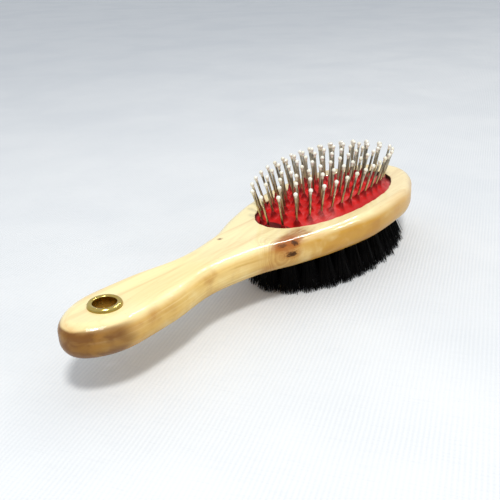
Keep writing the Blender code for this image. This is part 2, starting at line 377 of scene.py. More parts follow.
@dataclass(frozen=True)
class WoodFinish:
    """Pale close-grained wood under clear gloss lacquer."""

    name: str = "lacquered wood"
    pale: Colour = (0.93, 0.82, 0.45)
    gold: Colour = (0.73, 0.485, 0.145)
    amber: Colour = (0.52, 0.275, 0.038)
    late: Colour = (0.54, 0.25, 0.050)
    end: Colour = (0.17, 0.065, 0.008)
    heart: Colour = (0.045, 0.014, 0.002)
    stain: Colour = (0.33, 0.095, 0.008)
    recess_shade: Colour = (0.016, 0.009, 0.006)
    peach: Colour = (0.88, 0.64, 0.33)
    end_x: float = -0.098
    pith: Point2 = (0.018, -0.045)
    glow: Point3 = (-0.0092, -0.0162, 0.0285)
    fan: Point3 = (-0.0010, -0.0160, 0.0300)
    knots: tuple[Knot, ...] = (
        Knot((-0.0090, -0.0200, 0.0243), (0.0027, 0.0060, 0.0012), 0.95),
        Knot((-0.0066, -0.0178, 0.0284), (0.0014, 0.0050, 0.0010), 0.90),
        Knot((-0.0118, -0.0158, 0.0284), (0.0022, 0.0050, 0.0007), 0.60),
        Knot((-0.0244, 0.0064, 0.0302), (0.0008, 0.0006, 0.0020), 0.80),
    )
    swirl: Point3 = (-0.0135, -0.0200, 0.0240)
    side_high: float = 30.15 * MM
    side_low: float = 26.9 * MM
    top: float = 30.2 * MM
    recess: Point3 = (44.6 * MM, 47.1 * MM, 20.7 * MM)
    recess_power: float = 2.1

    def material(self) -> bpy.types.Material:
        """Builds the finish.

        Returns:
            The material.
        """
        g = Graph(self.name)
        place = g.place()
        x, y, z = g.axes(place)
        sway = g.noise(g.stretched(place, (9.0, 26.0, 26.0)), 1.0, 2.0) - 0.5
        ripple = g.noise(g.stretched(place, (30.0, 190.0, 190.0)), 1.0, 2.0) - 0.5
        away_y = y - self.pith[0] + sway * (9 * MM)
        away_z = z - self.pith[1]
        depth = (away_y * away_y + away_z * away_z) ** 0.5 + x * 0.05 + ripple * (0.5 * MM)
        round_swirl = self.distance(g, place, self.swirl, (1.0, 0.55, 0.75))
        near_swirl = g.rise(round_swirl, 13 * MM, 3 * MM)
        whorl = g.line_noise(round_swirl + ripple * (2 * MM), 1250.0, 1.0, 0.5)
        rings = g.line_noise(depth, 430.0, 3.0, 0.62)
        lines = g.rise(rings, 0.44, 0.84) * (1.0 - 0.8 * near_swirl)
        fibres = g.noise(g.stretched(place, (60.0, 1500.0, 1500.0)), 1.0, 3.0, 0.6)
        streaks = g.noise(g.stretched(place, (11.0, 150.0, 150.0)), 1.0, 3.0, 0.55, 0.6)
        patches = g.noise(g.stretched(place, (14.0, 50.0, 50.0)), 1.0, 2.0, 0.5)
        pores = g.rise(g.noise(g.stretched(place, (210.0, 2600.0, 2600.0)), 1.0, 2.0), 0.69, 0.76)

        # Sides below the top edge: partly the wood's own darker gold and amber tone, partly painted shade on
        # the sides, which the overhead light reaches less.
        sides = g.rise(z, self.side_high, self.side_low)
        figure = g.noise(g.stretched(place, (90.0, 90.0, 120.0)), 1.0, 3.0, 0.5, 0.3)
        ripe = g.rise(x, -40 * MM, -16 * MM) + g.rise(x, -58 * MM, -88 * MM) + near_swirl * 0.5
        low_edge = g.rise(z, 22.5 * MM, 18.5 * MM) * g.rise(streaks, 0.42, 0.62)
        ripeness = ripe * (0.68 + 0.32 * g.rise(patches, 0.3, 0.6)) + low_edge * 0.5
        flank = g.mix(ripeness, self.gold, self.amber)
        colour = g.mix(g.rise(patches, 0.36, 0.72) * 0.30 + sides * 0.85, self.pale, flank)
        colour = g.mix(sides * g.rise(figure, 0.50, 0.75) * 0.42, colour, self.stain)
        colour = g.mix(sides * g.rise(figure, 0.50, 0.25) * 0.30, colour, self.pale)
        bands = g.noise(g.stretched(place, (9.0, 60.0, 420.0)), 1.0, 3.0, 0.55, 0.4)
        colour = g.mix(sides * g.rise(x, 6 * MM, 32 * MM) * 0.34, colour, self.amber)
        banded = sides * g.rise(x, -14 * MM, -30 * MM)
        colour = g.mix(banded * g.rise(bands, 0.46, 0.64) * 0.60, colour, self.amber)
        colour = g.mix(banded * g.rise(bands, 0.44, 0.30) * 0.35, colour, self.pale)
        head_tone = g.rise(x, 40 * MM, 84 * MM) * 0.40
        upper = (1.0 - sides) * g.rise(streaks, 0.42, 0.66) * 0.38
        colour = g.mix(g.math("MAXIMUM", upper, head_tone), colour, self.peach)
        colour = g.mix(lines * (0.26 - 0.16 * sides), colour, self.late)
        colour = g.mix(g.rise(streaks, 0.52, 0.80) * 0.42, colour, self.late)
        colour = g.mix(g.rise(fibres, 0.45, 0.85) * 0.16, colour, self.late)
        colour = g.mix(pores * 0.30, colour, self.late)
        end_grain = g.rise(x + (figure - 0.5) * (9 * MM), self.end_x + 12 * MM, self.end_x + 4 * MM)
        end_side = g.rise(z + (streaks - 0.5) * (1.6 * MM), 29.0 * MM, 28.1 * MM)
        colour = g.mix(end_grain * end_side * (0.66 + 0.34 * g.rise(streaks, 0.35, 0.65)), colour, self.end)

        wisps = g.noise(g.stretched(place, (55.0, 120.0, 420.0)), 1.0, 3.0, 0.6, 0.8)
        glow = g.rise(self.distance(g, place, self.glow, (0.38, 0.8, 1.1)), 4.4 * MM, 1.8 * MM)
        fan = g.rise(self.distance(g, place, self.fan, (0.42, 0.8, 1.0)), 5.0 * MM, 1.5 * MM)
        colour = g.mix(glow * (0.78 + 0.22 * g.rise(wisps, 0.36, 0.60)), colour, self.stain)
        colour = g.mix(fan * g.rise(wisps, 0.42, 0.58) * 0.85, colour, self.stain)
        colour = g.mix(near_swirl * g.rise(whorl, 0.38, 0.62) * 0.34, colour, self.stain)
        ragged = g.noise(g.stretched(place, (650.0, 650.0, 2600.0)), 1.0, 3.0, 0.65)
        scar: Value | float = 0.0
        for knot in self.knots:
            scale = tuple(1 / (1000 * half) for half in knot.size)
            reach = self.distance(g, place, knot.place, scale) * 1000 + (ragged - 0.5) * 2.2
            core = g.rise(reach, 1.15, 0.55)
            colour = g.mix(g.rise(reach, 2.4, 0.8) * 0.60, colour, self.stain)
            colour = g.mix(core * knot.dark, colour, self.heart)
            scar = core + scar
        below_top = g.rise(z, self.top - 0.15 * MM, self.top - 0.55 * MM)
        # Painted shade: the recess wall below the rim is darkened almost to black.
        hollow = g.rise(self.recess_share(g, x, y), 1.035, 1.0) * below_top
        colour = g.mix(hollow * 0.95, colour, self.recess_shade)

        dips = g.noise(g.stretched(place, (70.0, 150.0, 150.0)), 1.0, 2.0, 0.45)
        orange_peel = g.noise(place, 330.0, 2.0, 0.5)
        crinkle = g.noise(place, 950.0, 2.0, 0.5)
        lacquer_skin = dips * 0.66 + orange_peel * 0.26 + crinkle * 0.05
        height = lacquer_skin + fibres * 0.04 - pores * 0.08 - lines * 0.05
        smears = g.noise(place, 160.0, 3.0, 0.6)
        waist = g.rise(x, -86 * MM, -79 * MM) * g.rise(x, -38 * MM, -50 * MM)
        thick = g.rise(z, 27.2 * MM, 28.8 * MM) * (1.0 - waist)
        lacquer = 0.34 + 0.38 * thick + 0.10 * g.rise(smears, 0.3, 0.6)
        lacquer = lacquer - 0.24 * waist - 0.30 * scar - 0.6 * hollow
        return g.surface(
            Base_Color=colour,
            Roughness=0.42 + 0.12 * fibres,
            Normal=g.bump(height, 0.55, 0.00016),
            Coat_Weight=g.math("MAXIMUM", lacquer, 0.0),
            Coat_Roughness=0.05,
            Coat_IOR=1.50,
            Specular_IOR_Level=0.10,
        )

    def recess_share(self, g: Graph, x: Value, y: Value) -> Value:
        """How far a point is from the middle of the recess to its edge.

        Args:
            g: The graph.
            x: Along the brush.
            y: Across.

        Returns:
            The share, 1 at the edge.
        """
        middle, half_length, half_width = self.recess
        along = ((x - middle) / half_length).math("ABSOLUTE") ** self.recess_power
        across = (y / half_width).math("ABSOLUTE") ** self.recess_power
        return (along + across) ** (1 / self.recess_power)

    def distance(self, g: Graph, place: Value, centre: Point3, scale: Point3) -> Value:
        """The distance from a centre, with each axis scaled.

        Args:
            g: The graph.
            place: The point on the piece.
            centre: The centre.
            scale: How much each axis counts.

        Returns:
            The distance.
        """
        apart = g.vector("SUBTRACT", place, centre)
        return g.vector("LENGTH", g.stretched(apart, scale), output=1)


@dataclass(frozen=True)
class BrassFinish:
    """Bright pressed brass, dulled inside the bore."""

    name: str = "pressed brass"
    bright: Colour = (0.60, 0.455, 0.13)
    warm: Colour = (0.50, 0.31, 0.060)
    dull: Colour = (0.66, 0.42, 0.075)
    olive: Colour = (0.27, 0.20, 0.035)
    bore_top: float = 0.0296

    def material(self) -> bpy.types.Material:
        """Builds the finish.

        Returns:
            The material.
        """
        g = Graph(self.name)
        place = g.place()
        z = g.axes(place)[2]
        tarnish = g.noise(place, 420.0, 3.0, 0.6)
        turned = g.noise(g.stretched(place, (260.0, 260.0, 5200.0)), 1.0, 2.0)
        spots = g.rise(g.noise(place, 1500.0, 2.0), 0.66, 0.74)
        deep = g.rise(z, self.bore_top + 0.7 * MM, self.bore_top - 2.5 * MM)
        colour = g.mix(g.rise(tarnish, 0.4, 0.75) * 0.6, self.bright, self.warm)
        colour = g.mix(spots * 0.5, colour, self.dull)
        low_on_flange = g.rise(z, self.bore_top + 1.75 * MM, self.bore_top + 0.85 * MM)
        colour = g.mix(low_on_flange * 0.75, colour, self.olive)
        colour = g.mix(deep * 0.9, colour, self.dull)
        return g.surface(
            Base_Color=colour,
            Metallic=1.0 - 0.25 * spots - 0.35 * deep,
            Roughness=0.07 + 0.16 * tarnish + 0.18 * deep + 0.2 * spots,
            Normal=g.bump(turned * 0.5 + tarnish * 0.5, 0.25, 0.00005),
        )


@dataclass(frozen=True)
class RubberFinish:
    """Red moulded rubber with a soft gloss and a pale bloom near its rim, with painted shade on the cones
    round the pins and in the seam at its edge.
    """

    name: str = "red rubber"
    red: Colour = (0.57, 0.005, 0.004)
    deep: Colour = (0.15, 0.0015, 0.0015)
    bloom: Colour = (0.72, 0.19, 0.18)
    seam_shade: Colour = (0.030, 0.002, 0.002)

    def material(self) -> bpy.types.Material:
        """Builds the finish.

        Returns:
            The material.
        """
        g = Graph(self.name)
        place = g.place()
        x, y, _ = g.axes(place)
        cone = g.attribute("cone")
        rim = g.attribute("rim")
        mottle = g.noise(place, 170.0, 3.0, 0.6)
        grain = g.noise(place, 2200.0, 2.0, 0.6)
        smear = g.noise(g.stretched(place, (120.0, 330.0, 330.0)), 1.0, 4.0, 0.65, 1.2)
        colour = g.mix(g.rise(mottle, 0.35, 0.8) * 0.35, self.red, self.deep)
        # Painted shade: each moulded cone darkens towards its pin.
        colour = g.mix(g.rise(cone, 0.0, 0.62) * 0.88, colour, self.deep)
        near_side = g.rise(y, -10 * MM, -14.5 * MM) * g.rise(x, -2 * MM, 8 * MM) * g.rise(x, 32 * MM, 18 * MM)
        head_end = g.rise(x, 66 * MM, 78 * MM) * g.rise(y, 4 * MM, -5 * MM)
        dusty = g.math("MAXIMUM", near_side, head_end) * g.rise(rim, 0.70, 0.86)
        flecks = dusty * g.rise(smear, 0.42, 0.66)
        colour = g.mix(dusty * 0.20 + flecks * 0.55, colour, self.bloom)
        specks = g.rise(g.noise(place, 1100.0, 2.0), 0.70, 0.78)
        colour = g.mix(specks * 0.22, colour, self.bloom)
        # Painted shade in the seam where the membrane meets the wood.
        colour = g.mix(g.rise(rim, 0.965, 0.99) * 0.85, colour, self.seam_shade)
        return g.surface(
            Base_Color=colour,
            Roughness=0.40 + 0.16 * mottle + 0.25 * flecks + 0.12 * specks,
            Normal=g.bump(grain * 0.35 + mottle * 0.65, 0.35, 0.00010),
            Specular_IOR_Level=0.17,
            Subsurface_Weight=0.06,
            Subsurface_Radius=(0.9, 0.12, 0.08),
            Subsurface_Scale=0.0016,
        )


@dataclass(frozen=True)
class SteelFinish:
    """Plated steel wire with drawing marks, and a painted warm reflection of the rubber and wood towards its
    foot.
    """

    name: str = "plated steel wire"
    bright: Colour = (0.46, 0.42, 0.33)
    warm: Colour = (0.46, 0.33, 0.13)
    dark: Colour = (0.075, 0.062, 0.045)

    def material(self) -> bpy.types.Material:
        """Builds the finish.

        Returns:
            The material.
        """
        g = Graph(self.name)
        place = g.place()
        along = g.attribute("along")
        marks = g.noise(g.stretched(place, (2600.0, 2600.0, 170.0)), 1.0, 3.0, 0.6)
        stains = g.noise(g.stretched(place, (900.0, 900.0, 45.0)), 1.0, 2.0, 0.5)
        cloud = g.noise(place, 380.0, 3.0, 0.6)
        # Painted reflection: the wire turns warmer towards its foot, near the rubber.
        colour = g.mix(g.rise(along, 0.85, 0.15) * 0.75, self.bright, self.warm)
        colour = g.mix(g.rise(cloud, 0.5, 0.85) * 0.55, colour, self.dark)
        colour = g.mix(g.rise(marks, 0.55, 0.8) * 0.35, colour, self.dark)
        colour = g.mix(g.rise(stains, 0.46, 0.62) * 0.70, colour, self.dark)
        return g.surface(
            Base_Color=colour,
            Metallic=1.0,
            Roughness=0.20 + 0.18 * cloud + 0.10 * marks,
            Normal=g.bump(marks, 0.30, 0.00003),
        )


@dataclass(frozen=True)
class BeadFinish:
    """Ivory plastic beads, slightly uneven in tone, with painted shade low on each, where it meets its wire.
    """

    name: str = "ivory beads"
    ivory: Colour = (0.80, 0.78, 0.68)
    cream: Colour = (0.64, 0.57, 0.38)
    collar: Colour = (0.36, 0.28, 0.14)

    def material(self) -> bpy.types.Material:
        """Builds the finish.

        Returns:
            The material.
        """
        g = Graph(self.name)
        place = g.place()
        along = g.attribute("along")
        tone = g.noise(place, 240.0, 2.0)
        pits = g.noise(place, 3000.0, 2.0)
        colour = g.mix(g.rise(tone, 0.35, 0.75) * 0.6, self.ivory, self.cream)
        # Painted shade: darker brown low on each bead, towards its wire.
        colour = g.mix(g.rise(along, 0.52, 0.10) * 0.8, colour, self.collar)
        return g.surface(
            Base_Color=colour,
            Roughness=0.20 + 0.15 * tone,
            Normal=g.bump(pits, 0.25, 0.00004),
            Coat_Weight=0.4,
            Coat_Roughness=0.08,
        )


@dataclass(frozen=True)
class NylonFinish:
    """Black nylon filament: each strand has its own tone, and its cut end is a little paler."""

    name: str = "black nylon"
    black: Colour = (0.0009, 0.0009, 0.0010)
    brown: Colour = (0.0045, 0.0038, 0.0034)
    cut: Colour = (0.018, 0.017, 0.016)

    def material(self) -> bpy.types.Material:
        """Builds the finish.

        Returns:
            The material.
        """
        g = Graph(self.name)
        place = g.place()
        along = g.attribute("along")
        strand = g.attribute("strand")
        ribs = g.noise(g.stretched(place, (900.0, 900.0, 240.0)), 1.0, 2.0)
        colour = g.mix(strand, self.black, self.brown)
        colour = g.mix(g.rise(along, 0.95, 1.0) * 0.8, colour, self.cut)
        return g.surface(
            Base_Color=colour,
            Roughness=0.34 + 0.22 * strand + 0.1 * ribs,
            Normal=g.bump(ribs, 0.3, 0.00003),
            Specular_IOR_Level=0.07,
        )


@dataclass(frozen=True)
class ClothFinish:
    """The floor: pale plain-woven cloth."""

    name: str = "pale cloth"
    white: Colour = (0.77, 0.785, 0.795)
    grey: Colour = (0.60, 0.63, 0.665)
    thread: float = 1.6 * MM
    turn: float = -21.0

    def material(self) -> bpy.types.Material:
        """Builds the finish.

        Returns:
            The material.
        """
        g = Graph(self.name)
        place = g.place()
        angle = (0.0, 0.0, math.radians(self.turn))
        settings = {"rotation_type": "EULER_XYZ"}
        turned = g.node("ShaderNodeVectorRotate", settings, {"Vector": place, "Rotation": angle})
        wander = g.noise(place, 60.0, 2.0) - 0.5
        x, y, _ = g.axes(turned)
        turns = 2 * math.pi / self.thread
        warp = (x * turns + wander * 2.5).math("SINE")
        weft = (y * turns + wander * 2.5).math("SINE")
        weave = weft * 0.38 + warp * weft * 0.12 + 0.5
        slubs = g.noise(g.stretched(turned, (1500.0, 90.0, 1.0)), 1.0, 2.0)
        folds = g.noise(place, 9.0, 3.0, 0.5, 0.4)
        uneven = g.rise(g.noise(place, 22.0, 2.0), 0.30, 0.65)
        colour = g.mix(weave * (0.15 + 0.27 * uneven) + g.rise(slubs, 0.5, 0.8) * 0.20, self.white, self.grey)
        # Painted shade: the cloth turns greyer further back along +Y, as the light falls off.
        far_shade = g.rise(g.axes(place)[1], 0.0, 0.7)
        colour = g.mix(g.rise(folds, 0.4, 0.7) * 0.22 + far_shade * 0.55, colour, self.grey)
        return g.surface(
            Base_Color=colour,
            Roughness=0.88,
            Normal=g.bump(weave * 0.05 + slubs * 0.05 + folds, 0.5, 0.0035),
            Specular_IOR_Level=0.15,
        )


# ---------------------------------------------------------------------------------------------------------
# Meshes


@dataclass
class Shape:
    """Points, faces and the loops' normals of a mesh while it is being made."""

    points: list[Point3] = field(default_factory=list)
    faces: list[tuple[int, ...]] = field(default_factory=list)
    normals: list[Point3] = field(default_factory=list)
    numbers: dict[str, list[float]] = field(default_factory=dict)

    def ring(self, points: list[Point3]) -> list[int]:
        """Adds points.

        Args:
            points: The points.

        Returns:
            Their numbers.
        """
        first = len(self.points)
        self.points += [tuple(map(float, p)) for p in points]
        return list(range(first, len(self.points)))

    def face(self, corners: tuple[int, ...], normals: list[Point3] | None = None) -> None:
        """Adds a face, with its corners' normals where they are known.

        Args:
            corners: The points' numbers.
            normals: One normal for each corner.
        """
        self.faces.append(tuple(corners))
        self.normals += normals or [AUTO] * len(corners)

    def strip(
        self,
        first: list[int],
        second: list[int],
        first_normals: list[Point3] | None = None,
        second_normals: list[Point3] | None = None,
        closed: bool = True,
    ) -> None:
        """Joins two rings of the same length with quads.

        Args:
            first: The first ring.
            second: The second ring.
            first_normals: The first ring's normals.
            second_normals: The second ring's normals.
            closed: Whether the rings close on themselves.
        """
        count = len(first)
        for i in range(count if closed else count - 1):
            j = (i + 1) % count
            normals = None
            if first_normals:
                normals = [first_normals[i], first_normals[j], second_normals[j], second_normals[i]]
            self.face((first[i], first[j], second[j], second[i]), normals)

    def cap(self, ring: list[int], centre: Point3, flipped: bool = False) -> None:
        """Closes a ring with a fan to a middle point.

        Args:
            ring: The ring.
            centre: The middle point.
            flipped: Turns the faces over.
        """
        middle = self.ring([centre])[0]
        for i in range(len(ring)):
            a, b = ring[i], ring[(i + 1) % len(ring)]
            self.face((b, a, middle) if flipped else (a, b, middle))

    def sheet(self, loops: list[list[int]], spare: list[int], facing_up: bool, normal: Point3) -> None:
        """Fills the flat area between loops with triangles; the first loop is the outside.

        Args:
            loops: Rings of points; those after the first are holes.
            spare: Loose points inside that the triangles use.
            facing_up: Whether the faces look up.
            normal: Their normal, or AUTO.
        """
        used = [i for loop in loops for i in loop] + spare
        plan = [Vector(self.points[i][:2]) for i in used]
        edges, start = [], 0
        for loop in loops:
            count = len(loop)
            edges += [(start + i, start + (i + 1) % count) for i in range(count)]
            start += count
        _, _, faces, origins, _, _ = delaunay_2d_cdt(plan, edges, [], 1, 1e-7)
        back = [used[o[0]] for o in origins]
        holes = [np.array([self.points[i][:2] for i in loop]) for loop in loops[1:]]
        for corners in faces:
            numbers = [back[c] for c in corners]
            middle = np.mean([self.points[i][:2] for i in numbers], axis=0)
            if any(inside(middle, hole) for hole in holes):
                continue
            a, b, c = (Vector(self.points[i][:2]) for i in numbers)
            turns_up = (b - a).cross(c - a) > 0
            if turns_up != facing_up:
                numbers.reverse()
            self.face(tuple(numbers), [normal] * 3)

    def mark(self, name: str, values: list[float]) -> None:
        """Adds to a named number that is kept on the points.

        Args:
            name: The number's name.
            values: One for each new point.
        """
        self.numbers.setdefault(name, []).extend(values)

    def piece(self, name: str, material: bpy.types.Material, crease: float = 40.0) -> bpy.types.Object:
        """Makes the object.

        Args:
            name: Its name.
            material: Its material.
            crease: The angle in degrees from which an edge is sharp.

        Returns:
            The object.
        """
        mesh = bpy.data.meshes.new(name)
        mesh.from_pydata(self.points, [], self.faces)
        mesh.shade_smooth()
        mesh.set_sharp_from_angle(angle=math.radians(crease))
        if any(n != AUTO for n in self.normals):
            mesh.normals_split_custom_set(self.normals)
        for key, values in self.numbers.items():
            mesh.attributes.new(key, "FLOAT", "POINT").data.foreach_set("value", values)
        mesh.materials.append(material)
        obj = bpy.data.objects.new(name, mesh)
        bpy.context.scene.collection.objects.link(obj)
        return obj


def inside(point: np.ndarray, loop: np.ndarray) -> bool:
    """Whether a point is inside a closed loop in plan.

    Args:
        point: The point.
        loop: The loop's points.

    Returns:
        True inside.
    """
    x, y = point
    if not (loop[:, 0].min() < x < loop[:, 0].max() and loop[:, 1].min() < y < loop[:, 1].max()):
        return False
    after = np.roll(loop, -1, axis=0)
    crosses = (loop[:, 1] > y) != (after[:, 1] > y)
    a, b = loop[crosses], after[crosses]
    at = a[:, 0] + (y - a[:, 1]) / (b[:, 1] - a[:, 1]) * (b[:, 0] - a[:, 0])
    return bool((at > x).sum() % 2)


def outward(loop: np.ndarray) -> np.ndarray:
    """Unit normals in plan of a loop that runs anticlockwise.

    Args:
        loop: The loop's points.

    Returns:
        One normal for each point.
    """
    along = np.roll(loop, -1, axis=0) - np.roll(loop, 1, axis=0)
    normal = np.stack([along[:, 1], -along[:, 0]], axis=1)
    return normal / np.linalg.norm(normal, axis=1, keepdims=True)


def smooth_through(stations: tuple[Point2, ...], where: np.ndarray) -> np.ndarray:
    """Monotone cubic curve through (position, value) stations.

    Args:
        stations: The stations in order.
        where: The positions to read.

    Returns:
        The values there.
    """
    at, value = np.array(stations).T
    step = np.diff(at)
    slope = np.diff(value) / step
    tangent = np.zeros(len(at))
    for i in range(1, len(at) - 1):
        if slope[i - 1] * slope[i] > 0:
            before = 2 * step[i] + step[i - 1]
            after = step[i] + 2 * step[i - 1]
            tangent[i] = (before + after) / (before / slope[i - 1] + after / slope[i])
    i = np.clip(np.searchsorted(at, where) - 1, 0, len(step) - 1)
    t = (where - at[i]) / step[i]
    return (
        (2 * t**3 - 3 * t**2 + 1) * value[i]
        + (t**3 - 2 * t**2 + t) * step[i] * tangent[i]
        + (3 * t**2 - 2 * t**3) * value[i + 1]
        + (t**3 - t**2) * step[i] * tangent[i + 1]
    )


def evenly_round(half_length: float, half_width: float, count: int, phase: float = 0.0) -> list[Point2]:
    """Points spaced evenly by length round an ellipse, from its tail end along the -Y side.

    Args:
        half_length: Half the ellipse along X.
        half_width: Half the ellipse along Y.
        count: How many points.
        phase: Share of a step to start with.

    Returns:
        The points.
    """
    angle = np.linspace(math.pi, 3 * math.pi, 2001)
    points = np.stack([half_length * np.cos(angle), half_width * np.sin(angle)], axis=1)
    run = np.concatenate([[0], np.cumsum(np.linalg.norm(np.diff(points, axis=0), axis=1))])
    at = np.interp((np.arange(count) + phase) / count * run[-1], run, angle)
    return [(half_length * math.cos(a), half_width * math.sin(a)) for a in at]


def circle(centre: Point2, radius: float, height: float, sides: int) -> list[Point3]:
    """A level circle of points, anticlockwise.

    Args:
        centre: Its middle in plan.
        radius: Its radius.
        height: Its height.
        sides: How many points.

    Returns:
        The points.
    """
    turns = [2 * math.pi * i / sides for i in range(sides)]
    return [(centre[0] + radius * math.cos(a), centre[1] + radius * math.sin(a), height) for a in turns]


def arc(centre: Point2, radii: Point2, start: float, end: float, steps: int) -> list[Point2]:
    """Points on an arc of an ellipse, in a profile's plane.

    Args:
        centre: The arc's centre.
        radii: Its two radii.
        start: The first angle in degrees.
        end: The last angle in degrees.
        steps: How many steps.

    Returns:
        The points, both ends included.
    """
    turns = [math.radians(start + (end - start) * i / steps) for i in range(steps + 1)]
    return [(centre[0] + radii[0] * math.cos(a), centre[1] + radii[1] * math.sin(a)) for a in turns]


def turned(shape: Shape, profile: list[Point2], centre: Point2, sides: int) -> None:
    """Adds a closed profile of (radius, height) turned about a vertical axis.

    Args:
        shape: The shape to add to.
        profile: The profile, with the solid on its left.
        centre: The axis in plan.
        sides: How many steps.
    """
    rings = [shape.ring(circle(centre, radius, height, sides)) for radius, height in profile]
    for first, second in zip(rings, rings[1:] + rings[:1]):
        shape.strip(first, second)


# ---------------------------------------------------------------------------------------------------------
# Sub-assemblies

# Thickness of the cushion's membrane
RUBBER = 1.4 * MM


@dataclass
class Levels:
    """Heights that the sub-assemblies share, worked out from the frame."""

    top: float
    underside: float
    cushion_edge: float

    @classmethod
    def from_frame(cls) -> "Levels":
        """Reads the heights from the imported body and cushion."""
        low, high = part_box("handle_body")
        cushion_low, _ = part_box("cushion")
        return cls(top=high.z, underside=low.z, cushion_edge=cushion_low.z + RUBBER)


@dataclass
class Pad:
    """The recess in the head, and the dome of the cushion that fills it."""

    x: float = 44.6 * MM
    half_length: float = 47.1 * MM
    half_width: float = 20.7 * MM
    power: float = 2.1
    rise: float = 5.8 * MM
    foot: float = 0.975
    dome_power: float = 4.0

    def outline(self, count: int) -> np.ndarray:
        """The recess's edge in plan, anticlockwise.

        Args:
            count: How many points.

        Returns:
            The points, evenly spaced by length.
        """
        angle = np.linspace(0, 2 * math.pi, 8001)
        cos, sin = np.cos(angle), np.sin(angle)
        x = np.sign(cos) * np.abs(cos) ** (2 / self.power) * self.half_length
        y = np.sign(sin) * np.abs(sin) ** (2 / self.power) * self.half_width
        run = np.concatenate([[0], np.cumsum(np.hypot(np.diff(x), np.diff(y)))])
        at = np.arange(count) / count * run[-1]
        return np.stack([self.x + np.interp(at, run, x), np.interp(at, run, y)], axis=1)

    def share(self, x: float, y: float) -> float:
        """How far a point is from the middle to the edge, from 0 to 1."""
        across = abs((x - self.x) / self.half_length) ** self.power + abs(y / self.half_width) ** self.power
        return across ** (1 / self.power)

    def dome(self, x: float, y: float) -> float:
        """How high the cushion stands above its edge there."""
        return self.rise * (1 - min(self.share(x, y) / self.foot, 1.0) ** self.dome_power)


@dataclass
class TuftField:
    """Where the tufts stand, and how they lean."""

    x: float = 45 * MM
    rings: tuple[tuple[float, float, int], ...] = ((45 * MM, 20 * MM, 25), (36.5 * MM, 11.7 * MM, 17))
    row_half: float = 25 * MM
    row_count: int = 7
    spread: Point2 = (1.145, 1.225)
    tail_spread: float = 1.03
    hole_radius: float = 2.3 * MM
    hole_depth: float = 4.5 * MM

    def places(self) -> list[Point2]:
        """Each tuft's place at the wood, from the field's middle, in the order of the frame's nodes."""
        found = [p for a, b, count in self.rings for p in evenly_round(a, b, count)]
        return found + [(float(x), 0.0) for x in np.linspace(-self.row_half, self.row_half, self.row_count)]


